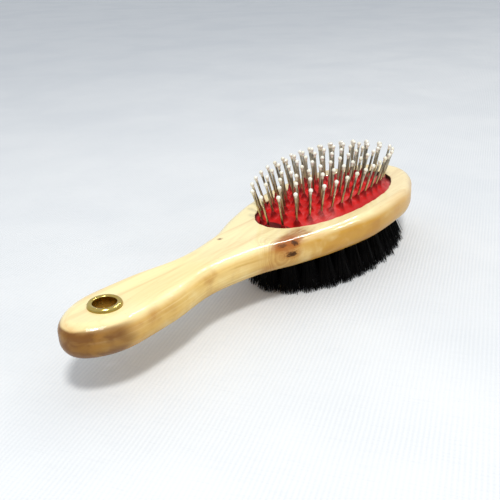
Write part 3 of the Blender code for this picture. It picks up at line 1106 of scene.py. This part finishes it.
@dataclass
class WoodBody:
    """The wooden body: handle and head in one piece, rounded all round, with its recess and holes."""

    levels: Levels
    pad: Pad
    tufts: TuftField
    length: float = 215 * MM
    round: float = 4.8 * MM
    round_low: float = 6.4 * MM
    tail_round: float = 22.6 * MM
    head_round: float = 30.3 * MM
    widths: tuple[Point2, ...] = (
        (0.000, 0.0136),
        (0.014, 0.0141),
        (0.038, 0.0132),
        (0.062, 0.0100),
        (0.084, 0.0130),
        (0.104, 0.0205),
        (0.124, 0.0264),
        (0.150, 0.0301),
        (0.176, 0.0285),
        (0.200, 0.0222),
        (0.215, 0.0215),
    )
    rim_round: float = 0.5 * MM
    rim_wobble: float = 0.42 * MM
    lip: float = 1.4 * MM
    groove: float = 1.5 * MM
    recess_depth: float = 7.5 * MM
    bore_radius: float = 5.0 * MM
    eyelet_x: float = -89.6 * MM
    edge_steps: int = 14
    rim_steps: int = 5

    def outline(self) -> np.ndarray:
        """The body's edge in plan, anticlockwise.

        Returns:
            The points.
        """
        tail = np.linspace(0, math.pi / 2, 40, endpoint=False)
        head = np.linspace(math.pi / 2, 0, 41)
        side = np.linspace(self.tail_round, self.length - self.head_round, 110, endpoint=False)
        along = np.concatenate(
            [
                self.tail_round * (1 - np.cos(tail)),
                side,
                self.length - self.head_round * (1 - np.cos(head)),
            ]
        )
        rounding = np.concatenate([np.sin(tail), np.ones(len(side)), np.sin(head)])
        half = smooth_through(self.widths, along) * rounding
        x = along - self.length / 2
        near = np.stack([x, -half], axis=1)
        far = np.stack([x, half], axis=1)[-2:0:-1]
        return np.concatenate([near, far])

    def add_edges(self, shape: Shape) -> tuple[list[int], list[int]]:
        """Adds the rounded sides.

        Args:
            shape: The shape to add to.

        Returns:
            The rings where the underside and the top begin.
        """
        plan = self.outline()
        out = outward(plan)
        turns = np.radians(np.linspace(-90, 90, 2 * self.edge_steps + 1))
        rings, normals = [], []
        for turn in turns:
            radius = self.round if turn > 0 else self.round_low
            level = self.levels.top - radius if turn > 0 else self.levels.underside + radius
            inset = radius * (1 - math.cos(turn))
            height = level + radius * math.sin(turn)
            at = plan - out * inset
            rings.append(shape.ring([(x, y, height) for x, y in at]))
            normals.append([(nx * math.cos(turn), ny * math.cos(turn), math.sin(turn)) for nx, ny in out])
        for i in range(len(rings) - 1):
            shape.strip(rings[i], rings[i + 1], normals[i], normals[i + 1])
        return rings[0], rings[-1]

    def add_recess(self, shape: Shape) -> list[int]:
        """Adds the recess, from its rounded rim down through the groove to its floor.

        Args:
            shape: The shape to add to.

        Returns:
            The ring where the top meets the rim.
        """
        plan = self.pad.outline(300)
        out = outward(plan)
        top = self.levels.top
        ragged = np.array([noise.noise(Vector((x * 300, y * 300, 1.3))) for x, y in plan]) * self.rim_wobble
        rings, normals = [], []
        for turn in np.radians(np.linspace(0, 90, self.rim_steps + 1)):
            reach = self.rim_round * (1 - math.sin(turn)) + ragged[:, None]
            height = top - self.rim_round * (1 - math.cos(turn))
            rings.append(shape.ring([(x, y, height) for x, y in plan + out * reach]))
            normals.append([(-nx * math.sin(turn), -ny * math.sin(turn), math.cos(turn)) for nx, ny in out])
        for i in range(len(rings) - 1):
            shape.strip(rings[i], rings[i + 1], normals[i], normals[i + 1])
        groove_floor = self.levels.cushion_edge - RUBBER - 0.3 * MM
        walls = (
            (0.0, top - self.lip),
            (self.groove, top - self.lip),
            (self.groove, groove_floor),
            (0.0, groove_floor),
            (0.0, top - self.recess_depth),
        )
        last = rings[-1]
        for reach, height in walls:
            ring = shape.ring([(x, y, height) for x, y in plan + out * reach])
            shape.strip(last, ring)
            last = ring
        shape.cap(last, (self.pad.x, 0.0, top - self.recess_depth))
        return rings[0]

    def add_holes(self, shape: Shape) -> tuple[list[int], list[int], list[list[int]]]:
        """Adds the eyelet's bore and the tufts' blind holes.

        Args:
            shape: The shape to add to.

        Returns:
            The bore's upper and lower rings, and the holes' rings.
        """
        centre = (self.eyelet_x, 0.0)
        upper = shape.ring(circle(centre, self.bore_radius, self.levels.top, 64))
        lower = shape.ring(circle(centre, self.bore_radius, self.levels.underside, 64))
        shape.strip(upper, lower)
        holes = []
        for x, y in self.tufts.places():
            middle = (self.tufts.x + x, y)
            mouth = shape.ring(circle(middle, self.tufts.hole_radius, self.levels.underside, 20))
            deep = self.levels.underside + self.tufts.hole_depth
            end = shape.ring(circle(middle, self.tufts.hole_radius, deep, 20))
            shape.strip(mouth, end)
            shape.cap(end, (*middle, deep))
            holes.append(mouth)
        return upper, lower, holes

    def build(self) -> Shape:
        """Builds the body's mesh.

        Returns:
            The shape.
        """
        shape = Shape()
        under, over = self.add_edges(shape)
        rim = self.add_recess(shape)
        bore_top, bore_bottom, holes = self.add_holes(shape)
        shape.sheet([over, rim, bore_top], [], True, UP)
        shape.sheet([under, bore_bottom, *holes], [], False, (0.0, 0.0, -1.0))
        return shape

    def dress(self, finish: WoodFinish) -> bpy.types.Object:
        """Makes the wooden piece and puts it on the frame.

        Args:
            finish: The wood's finish.

        Returns:
            The piece.
        """
        piece = self.build().piece("body_wood", finish.material(), 50.0)
        return settle(piece, Body.HANDLE, Slot.WOOD, "handle_body")


@dataclass
class Eyelet:
    """The rolled brass eyelet in the tail, and the washer that its lower end is spread over."""

    levels: Levels
    x: float = -89.6 * MM
    hole: float = 4.2 * MM
    wall: float = 0.5 * MM
    flange: float = 6.15 * MM
    crown: float = 1.4 * MM
    washer: float = 0.5 * MM
    gap: float = 0.3 * MM
    sides: int = 96

    def shell(self) -> Shape:
        """The eyelet: a tube with a rolled flange above and a spread end below.

        Returns:
            The shape.
        """
        top, under = self.levels.top, self.levels.underside
        outer = self.hole + self.wall
        crest = self.hole + 0.95 * MM
        corner = 0.35 * MM
        foot = under - 2 * self.gap - self.washer
        profile = [(self.hole, foot + 0.2 * MM)]
        shoulder = top + self.crown - 0.14 * MM
        profile += arc((self.hole + corner, shoulder - corner), (corner, corner), 180, 100, 6)
        profile += arc((crest, top + 0.10 * MM), (self.flange - crest, self.crown - 0.10 * MM), 112, -25, 20)
        profile += [(outer + 0.5 * MM, top + 0.04 * MM), (outer, top - 0.3 * MM), (outer, foot)]
        spread = self.flange - 0.6 * MM
        profile += arc((spread - 0.25 * MM, foot - 0.12 * MM), (0.25 * MM, 0.12 * MM), 90, -90, 6)
        turn_in = spread - 0.3 * MM
        profile += arc((turn_in, foot + 0.2 * MM), (turn_in - self.hole, 0.5 * MM), -90, -172, 8)
        shape = Shape()
        turned(shape, profile[::-1], (self.x, 0.0), self.sides)
        return shape

    def ring(self) -> Shape:
        """The washer: a flat ring with softened edges.

        Returns:
            The shape.
        """
        high = self.levels.underside - self.gap * 0.2
        low = high - self.washer
        inner = self.hole + self.wall + self.gap
        soft = 0.12 * MM
        profile = [
            (inner, low),
            (self.flange - soft, low),
            (self.flange, low + soft),
            (self.flange, high - soft),
            (self.flange - soft, high),
            (inner, high),
        ]
        shape = Shape()
        turned(shape, profile, (self.x, 0.0), self.sides)
        return shape

    def dress(self, finish: BrassFinish) -> list[bpy.types.Object]:
        """Makes both brass pieces and puts them on the frame.

        Args:
            finish: The brass's finish.

        Returns:
            The pieces.
        """
        brass = finish.material()
        shell = self.shell().piece("eyelet_shell", brass)
        ring = self.ring().piece("eyelet_ring", brass, 30.0)
        return [
            settle(shell, Body.HANDLE, Slot.BRASS, "eyelet"),
            settle(ring, Body.HANDLE, Slot.BRASS, "eyelet_washer"),
        ]


@dataclass
class PinField:
    """Three rings and a middle row of ball-tipped wire pins that splay outwards."""

    levels: Levels
    pad: Pad
    x: float = 43.8 * MM
    rings: tuple[tuple[str, float, float, int, float], ...] = (
        ("outer", 43.8 * MM, 16.3 * MM, 32, 0.0),
        ("middle", 38.0 * MM, 10.9 * MM, 26, 0.5),
        ("inner", 32.0 * MM, 5.5 * MM, 20, 0.0),
    )
    row_half: float = 25 * MM
    row_count: int = 8
    length: float = 15.5 * MM
    wire: float = 0.52 * MM
    bead: float = 0.95 * MM
    splay: Point2 = (0.118, 0.264)
    buried: float = 2.6 * MM
    sides: int = 12

    def rows(self) -> dict[str, list[Point2]]:
        """Each row's name and its pins' places in plan.

        Returns:
            The rows, named as in the frame.
        """
        rows = {}
        for name, half_length, half_width, count, phase in self.rings:
            places = [(self.x + x, y) for x, y in evenly_round(half_length, half_width, count, phase)]
            rows[f"{name}_near"] = places[: count // 2]
            rows[f"{name}_far"] = places[count // 2 :]
        along = np.linspace(-self.row_half, self.row_half, self.row_count)
        rows["centre"] = [(self.x + float(x), 0.0) for x in along]
        return rows

    def axis(self, x: float, y: float) -> tuple[Vector, Vector]:
        """A pin's foot on the cushion and its direction.

        Args:
            x: Its place along the brush.
            y: Its place across.

        Returns:
            The foot and the unit direction.
        """
        foot = Vector((x, y, self.levels.cushion_edge + self.pad.dome(x, y)))
        lean = Vector(((x - self.x) * self.splay[0], y * self.splay[1], 0.0))
        lean.z = math.sqrt(self.length**2 - lean.length_squared)
        return foot, lean.normalized()

    def add_turned(self, shape: Shape, profile: list[Point2], x: float, y: float, reach: Point2) -> None:
        """Adds a profile turned about a pin's axis, with the share of the way along it.

        Args:
            shape: The shape to add to.
            profile: (radius, distance along the pin) points, on the axis at both ends.
            x: The pin's place along the brush.
            y: The pin's place across.
            reach: The distances along the pin that count as 0 and 1.
        """
        foot, way = self.axis(x, y)
        place = Matrix.Translation(foot) @ way.to_track_quat("Z", "Y").to_matrix().to_4x4()
        rings = []
        for radius, height in profile[1:-1]:
            rings.append(shape.ring([place @ Vector(p) for p in circle((0, 0), radius, height, self.sides)]))
            shape.mark("along", [(height - reach[0]) / (reach[1] - reach[0])] * self.sides)
        for first, second in zip(rings, rings[1:]):
            shape.strip(first, second)
        for ring, (_, height), flipped in ((rings[0], profile[0], True), (rings[-1], profile[-1], False)):
            shape.cap(ring, tuple(place @ Vector((0, 0, height))), flipped)
            shape.mark("along", [(height - reach[0]) / (reach[1] - reach[0])])

    def shaft(self) -> list[Point2]:
        """The wire's profile."""
        ends = (-self.buried, 0.0, self.length * 0.5, self.length - 0.2 * MM)
        return [(0.0, ends[0]), *((self.wire, at) for at in ends), (0.0, ends[-1])]

    def drop(self) -> list[Point2]:
        """The bead's profile: a short collar on the wire that swells into a ball."""
        collar = self.wire + 0.05 * MM
        low = self.length - 2.1 * self.bead
        ball = arc((0.0, self.length), (self.bead, self.bead * 1.03), -50, 90, 9)
        stem = [(0.0, low), (collar, low), (collar + 0.02 * MM, low + 0.5 * MM)]
        return [*stem, *ball[:-1], (0.0, ball[-1][1])]

    def dress(self, steel: SteelFinish, bead: BeadFinish) -> list[bpy.types.Object]:
        """Makes the wires and the beads of each row and puts them on the frame.

        Args:
            steel: The wires' finish.
            bead: The beads' finish.

        Returns:
            The pieces.
        """
        wire_material, bead_material = steel.material(), bead.material()
        made = []
        for name, places in self.rows().items():
            wires, beads = Shape(), Shape()
            for x, y in places:
                self.add_turned(wires, self.shaft(), x, y, (0.0, self.length))
                self.add_turned(beads, self.drop(), x, y, (self.length - 2.1 * self.bead, self.length))
            wires_piece = wires.piece(f"wires_{name}", wire_material)
            beads_piece = beads.piece(f"beads_{name}", bead_material, 60.0)
            made.append(settle(wires_piece, Body.PINS, Slot.STEEL, f"pins_{name}"))
            made.append(settle(beads_piece, Body.PINS, Slot.BEAD, f"pins_{name}"))
        return made


@dataclass
class Cushion:
    """The air cushion: a domed rubber membrane with a moulded cone round each pin."""

    levels: Levels
    pad: Pad
    pins: PinField
    cone_radius: float = 2.15 * MM
    cone_height: float = 2.9 * MM
    cone_power: float = 1.7
    cone_rings: tuple[float, ...] = (0.0, 0.24, 0.32, 0.44, 0.58, 0.74, 0.88, 1.0)
    cone_sides: int = 18
    grid: float = 1.15 * MM
    rim_count: int = 300
    pucker: float = 0.24 * MM
    end_gap: float = 2.6 * MM
    end_dip: float = 1.4 * MM
    press_keep: float = 0.57

    def cone(self, x: float, y: float, axes: list[tuple[Vector, Vector]]) -> float:
        """How far up its cone a point is, from 0 on the plain membrane to 1 at a pin.

        Args:
            x: The point along the brush.
            y: The point across.
            axes: The pins' feet and directions.

        Returns:
            The share.
        """
        apart = min(math.hypot(x - foot.x, y - foot.y) for foot, _ in axes)
        run = (apart - self.cone_rings[1] * self.cone_radius) / (0.76 * self.cone_radius)
        share = min(max(run, 0.0), 1.0)
        return (1 - share) ** self.cone_power

    def lift(self, x: float, y: float) -> float:
        """The membrane's height without its cones, with slight puckers towards its rim."""
        share = self.pad.share(x, y)
        wave = noise.noise(Vector((x * 170, y * 170, 3.7))) * min(1.0, share * 1.2)
        along = (x - self.pad.x) / self.pad.half_length
        dome = self.pad.dome(x + self.end_gap * along, y)
        dip = self.end_dip * min(max((abs(along) - 0.78) / 0.17, 0.0), 1.0)
        return self.levels.cushion_edge + dome - dip + wave * self.pucker

    def build(self) -> Shape:
        """Builds the membrane's mesh.

        Returns:
            The shape.
        """
        shape = Shape()
        axes = [self.pins.axis(x, y) for row in self.pins.rows().values() for x, y in row]
        plan = self.pad.outline(self.rim_count)
        middle = np.array([self.pad.x, 0.0])
        rims = []
        for share in (self.pad.foot, 0.955, 0.93):
            rims.append([tuple(p) for p in middle + (plan - middle) * share])
        loose = list(rims[1]) + list(rims[2])
        for foot, _ in axes:
            for share in self.cone_rings:
                radius = share * self.cone_radius
                sides = self.cone_sides if share else 1
                loose += [p[:2] for p in circle((foot.x, foot.y), radius, 0.0, sides)]
        columns = int(2 * self.pad.half_length / self.grid) + 2
        lines = int(2 * self.pad.half_width / self.grid) + 2
        feet = np.array([(foot.x, foot.y) for foot, _ in axes])
        for i in range(columns):
            for j in range(lines):
                x = self.pad.x - self.pad.half_length + (i + 0.5 * (j % 2)) * self.grid
                y = -self.pad.half_width + j * self.grid
                clear = np.hypot(*(feet - (x, y)).T).min() > self.cone_radius + 0.35 * self.grid
                if clear and self.pad.share(x, y) < 0.905:
                    loose.append((x, y))
        loose = [p for p in loose if self.pad.share(*p) < self.pad.foot - 0.004]
        edge = shape.ring([(x, y, 0.0) for x, y in rims[0]])
        spare = shape.ring([(x, y, 0.0) for x, y in loose])
        shape.sheet([edge], spare, True, AUTO)
        for i, (x, y, _) in enumerate(shape.points):
            up = self.cone(x, y, axes)
            nearest = min(axes, key=lambda a: math.hypot(x - a[0].x, y - a[0].y))[1]
            rise = up * self.cone_height
            shape.points[i] = (
                x + nearest.x / nearest.z * rise,
                y + nearest.y / nearest.z * rise,
                self.lift(x, y) + rise,
            )
            shape.mark("cone", [up])
            shape.mark("rim", [self.pad.share(x, y)])
        self.add_flange(shape, edge, plan)
        return shape

    def add_flange(self, shape: Shape, edge: list[int], plan: np.ndarray) -> None:
        """Adds the edge that sits in the wood's groove, and the membrane's inner face.

        Args:
            shape: The shape to add to.
            edge: The ring at the dome's foot.
            plan: The recess's edge in plan.
        """
        out = outward(plan)
        reach = 1.2 * MM
        height = self.levels.cushion_edge
        middle = np.array([self.pad.x, 0.0])
        last = edge
        for at, level in ((plan + out * reach, height), (plan + out * reach, height - RUBBER)):
            ring = shape.ring([(x, y, level) for x, y in at])
            shape.strip(ring, last)
            last = ring
        for share in (self.pad.foot, 0.9, 0.78, 0.6, 0.35):
            at = middle + (plan - middle) * share
            ring = shape.ring([(x, y, height - RUBBER + self.pad.dome(x, y)) for x, y in at])
            shape.strip(ring, last)
            last = ring
        shape.cap(last, (self.pad.x, 0.0, height - RUBBER + self.pad.rise), flipped=True)
        extra = len(shape.points) - len(shape.numbers["rim"])
        shape.mark("cone", [0.0] * extra)
        shape.mark("rim", [1.0] * extra)

    def dress(self, finish: RubberFinish) -> bpy.types.Object:
        """Makes the cushion and puts it on the frame.

        Args:
            finish: The rubber's finish.

        Returns:
            The piece.
        """
        piece = self.build().piece("cushion_membrane", finish.material(), 75.0)
        settle(piece, Body.HANDLE, Slot.RUBBER, "cushion")
        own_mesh(piece)
        return piece


@dataclass
class Bristles:
    """Tufts of black nylon filament, each a bundle that opens out from its hole to its tips."""

    levels: Levels
    field: TuftField
    strands: int = 150
    root_radius: float = 1.95 * MM
    tip_radius: float = 3.7 * MM
    tip_stretch: float = 1.5
    head_stretch: float = 0.85
    head_share: float = 0.88
    strand_radius: float = 0.165 * MM
    narrowing: float = 0.35
    sag: float = 0.35 * MM
    stray: float = 0.42
    waver: float = 0.3
    joints: int = 4
    ragged: float = 0.85 * MM
    buried: float = 3.0 * MM
    seed: int = 41

    def add_strand(self, shape: Shape, line: list[Vector], tone: float, turn: float) -> None:
        """Adds one filament as a thin three-sided tube that narrows to its tip.

        Args:
            shape: The shape to add to.
            line: Its points from root to tip.
            tone: Its own tone, from 0 to 1.
            turn: How far its sides are turned, in radians.
        """
        rings = []
        last = len(line) - 1
        for i, at in enumerate(line):
            radius = self.strand_radius * (1.0 - self.narrowing * (i / last) ** 2)
            corners = [turn + 2 * math.pi * k / 3 for k in range(3)]
            section = [(at.x + radius * math.cos(a), at.y + radius * math.sin(a), at.z) for a in corners]
            rings.append(shape.ring(section))
            shape.mark("along", [i / last] * 3)
            shape.mark("strand", [tone] * 3)
        for first, second in zip(rings, rings[1:]):
            shape.strip(second, first)
        shape.face(tuple(rings[0]))
        shape.face(tuple(reversed(rings[-1])))

    def tuft(self, x: float, y: float, draw: random.Random) -> Shape:
        """Builds one tuft.

        Args:
            x: Its place along the field.
            y: Its place across.
            draw: The source of its small irregularities.

        Returns:
            The shape.
        """
        shape = Shape()
        wood = self.levels.underside
        spread_x = self.field.spread[0] if x > 0 else self.field.tail_spread
        lean = Vector((x * (spread_x - 1), y * (self.field.spread[1] - 1), 0.0))
        twist = draw.uniform(-0.25, 0.25)
        around = Vector((-y / self.field.rings[0][1] ** 2, x / self.field.rings[0][0] ** 2, 0.0))
        around = around.normalized() if around.length > 0 else Vector((1.0, 0.0, 0.0))
        at_head = x > self.head_share * self.field.rings[0][0]
        stretch = self.head_stretch if at_head else self.tip_stretch
        for k in range(self.strands):
            share = math.sqrt((k + 0.5) / self.strands)
            angle = k * math.pi * (3 - math.sqrt(5))
            out = Vector((math.cos(angle), math.sin(angle), 0.0))
            out_tip = Vector((math.cos(angle + twist), math.sin(angle + twist), 0.0))
            out_tip += around * (out_tip.dot(around) * (stretch - 1))
            stray = Vector((draw.gauss(0, self.stray), draw.gauss(0, self.stray), 0.0)) * MM
            tip_height = abs(draw.gauss(0, 0.33)) * self.ragged
            root = Vector((self.field.x + x, y, wood)) + out * (share * self.root_radius)
            tip = Vector((self.field.x + x, y, tip_height)) + lean
            tip = tip + out_tip * (share * self.tip_radius) + stray
            bow = Vector((draw.gauss(0, self.waver), draw.gauss(0, self.waver), 0.0)) * MM
            line = [root + Vector((0, 0, self.buried))]
            for i in range(self.joints):
                t = i / (self.joints - 1)
                swell = math.sin(math.pi * t)
                line.append(root.lerp(tip, t) + bow * swell - out * (self.sag * swell))
            self.add_strand(shape, line, draw.random(), draw.uniform(0, 2.0))
        return shape

    def dress(self, finish: NylonFinish) -> list[bpy.types.Object]:
        """Makes every tuft and puts it on the frame.

        Args:
            finish: The nylon's finish.

        Returns:
            The pieces.
        """
        nylon = finish.material()
        draw = random.Random(self.seed)
        made = []
        for number, (x, y) in enumerate(self.field.places(), 1):
            piece = self.tuft(x, y, draw).piece(f"bristles_{number:02d}", nylon, 180.0)
            made.append(settle(piece, Body.HANDLE, Slot.NYLON, f"tuft_{number:02d}"))
        return made


def settle(piece: bpy.types.Object, body: Body, slot: Slot, *nodes: str) -> bpy.types.Object:
    """Puts a piece on its body, in place of the frame's nodes.

    Args:
        piece: The piece.
        body: The body that it moves with.
        slot: The finish; not used.
        nodes: The frame's nodes that it stands for.

    Returns:
        The piece.
    """
    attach(piece, body.value)
    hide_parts(*nodes)
    faces = len(piece.data.polygons)
    LOG.info("%s: %d faces, on %s, for %s", piece.name, faces, body.value, ", ".join(nodes))
    return piece


# ---------------------------------------------------------------------------------------------------------
# Studio


@dataclass
class Lamp:
    """A soft area light. Slant turns it about its own axis, in degrees; some lamps give glints only."""

    name: str
    place: Point3
    aim: Point3
    size: Point2
    power: float
    colour: Colour = (1.0, 1.0, 1.0)
    slant: float = 0.0
    glints_only: bool = False

    def build(self) -> bpy.types.Object:
        """Makes the light.

        Returns:
            The light.
        """
        data = bpy.data.lights.new(self.name, "AREA")
        data.shape = "RECTANGLE"
        data.size, data.size_y = self.size
        data.energy = self.power
        data.color = self.colour
        obj = bpy.data.objects.new(self.name, data)
        way = Vector(self.aim) - Vector(self.place)
        facing = way.to_track_quat("-Z", "Y").to_matrix().to_4x4()
        slanted = Matrix.Rotation(math.radians(self.slant), 4, "Z")
        obj.matrix_world = Matrix.Translation(self.place) @ facing @ slanted
        obj.visible_diffuse = not self.glints_only
        bpy.context.scene.collection.objects.link(obj)
        return obj


@dataclass
class Studio:
    """Floor, lights and camera."""

    floor_half: float = 2.5
    floor_drop: float = 0.0002
    camera_place: Point3 = (-0.2136, -0.1697, 0.1395)
    camera_azimuth: float = -49.74
    camera_elevation: float = 23.94
    camera_roll: float = -1.765
    camera_lens: float = 49.45
    sensor_width: float = 36.0
    clip_start: float = 0.01
    sky: Colour = (0.93, 0.96, 1.0)
    sky_strength: float = 0.77
    lamps: tuple[Lamp, ...] = (
        Lamp("key", (-0.375, -0.390, 0.92), (0.0, 0.0, 0.0), (0.15, 0.15), 6.9, (1.0, 0.985, 0.95)),
        Lamp("key glow", (-0.375, -0.390, 0.93), (0.0, 0.0, 0.0), (0.44, 0.44), 5.0, glints_only=True),
        Lamp(
            "strip",
            (0.597, -0.007, 0.820),
            (0.0, 0.0, 0.02),
            (0.034, 0.66),
            5.0,
            slant=38.0,
            glints_only=True,
        ),
        Lamp(
            "low strip",
            (0.62, -0.40, 0.72),
            (0.02, -0.025, 0.028),
            (0.036, 0.12),
            1.1,
            slant=39.0,
            glints_only=True,
        ),
    )

    def build(self, cloth: ClothFinish) -> bpy.types.Object:
        """Builds the stage.

        Args:
            cloth: The floor's finish.

        Returns:
            The floor.
        """
        shape = Shape()
        h, z = self.floor_half, -self.floor_drop
        corners = shape.ring([(-h, -h, z), (h, -h, z), (h, h, z), (-h, h, z)])
        shape.face(tuple(corners))
        floor = shape.piece("floor", cloth.material())
        for lamp in self.lamps:
            lamp.build()
        self.add_sky()
        self.add_camera()
        return floor

    def add_sky(self) -> None:
        """Sets an even pale surround."""
        world = bpy.data.worlds.new("studio")
        world.use_nodes = True
        background = world.node_tree.nodes["Background"]
        background.inputs["Color"].default_value = (*self.sky, 1.0)
        background.inputs["Strength"].default_value = self.sky_strength
        bpy.context.scene.world = world
        bpy.context.scene.view_settings.view_transform = "Standard"

    def add_camera(self) -> None:
        """Makes the camera."""
        a, e, r = (math.radians(d) for d in (self.camera_azimuth, self.camera_elevation, self.camera_roll))
        back = Vector((math.sin(a) * math.cos(e), -math.cos(a) * math.cos(e), math.sin(e)))
        level = Vector((math.cos(a), math.sin(a), 0.0))
        upright = back.cross(level)
        right = level * math.cos(r) + upright * math.sin(r)
        up = back.cross(right)
        data = bpy.data.cameras.new("camera")
        data.lens = self.camera_lens
        data.sensor_width = self.sensor_width
        data.clip_start = self.clip_start
        camera = bpy.data.objects.new("camera", data)
        attitude = Matrix((right, up, back)).transposed().to_4x4()
        camera.matrix_world = Matrix.Translation(self.camera_place) @ attitude
        bpy.context.scene.collection.objects.link(camera)
        bpy.context.scene.camera = camera


def main() -> None:
    """Builds every sub-assembly in order."""
    logging.basicConfig(level=logging.INFO, format="%(message)s")
    levels = Levels.from_frame()
    pad = Pad()
    tufts = TuftField()
    pins = PinField(levels, pad)
    Studio().build(ClothFinish())
    WoodBody(levels, pad, tufts).dress(WoodFinish())
    Eyelet(levels).dress(BrassFinish())
    Cushion(levels, pad, pins).dress(RubberFinish())
    pins.dress(SteelFinish(), BeadFinish())
    Bristles(levels, tufts).dress(NylonFinish())


if __name__ == "__main__":
    main()
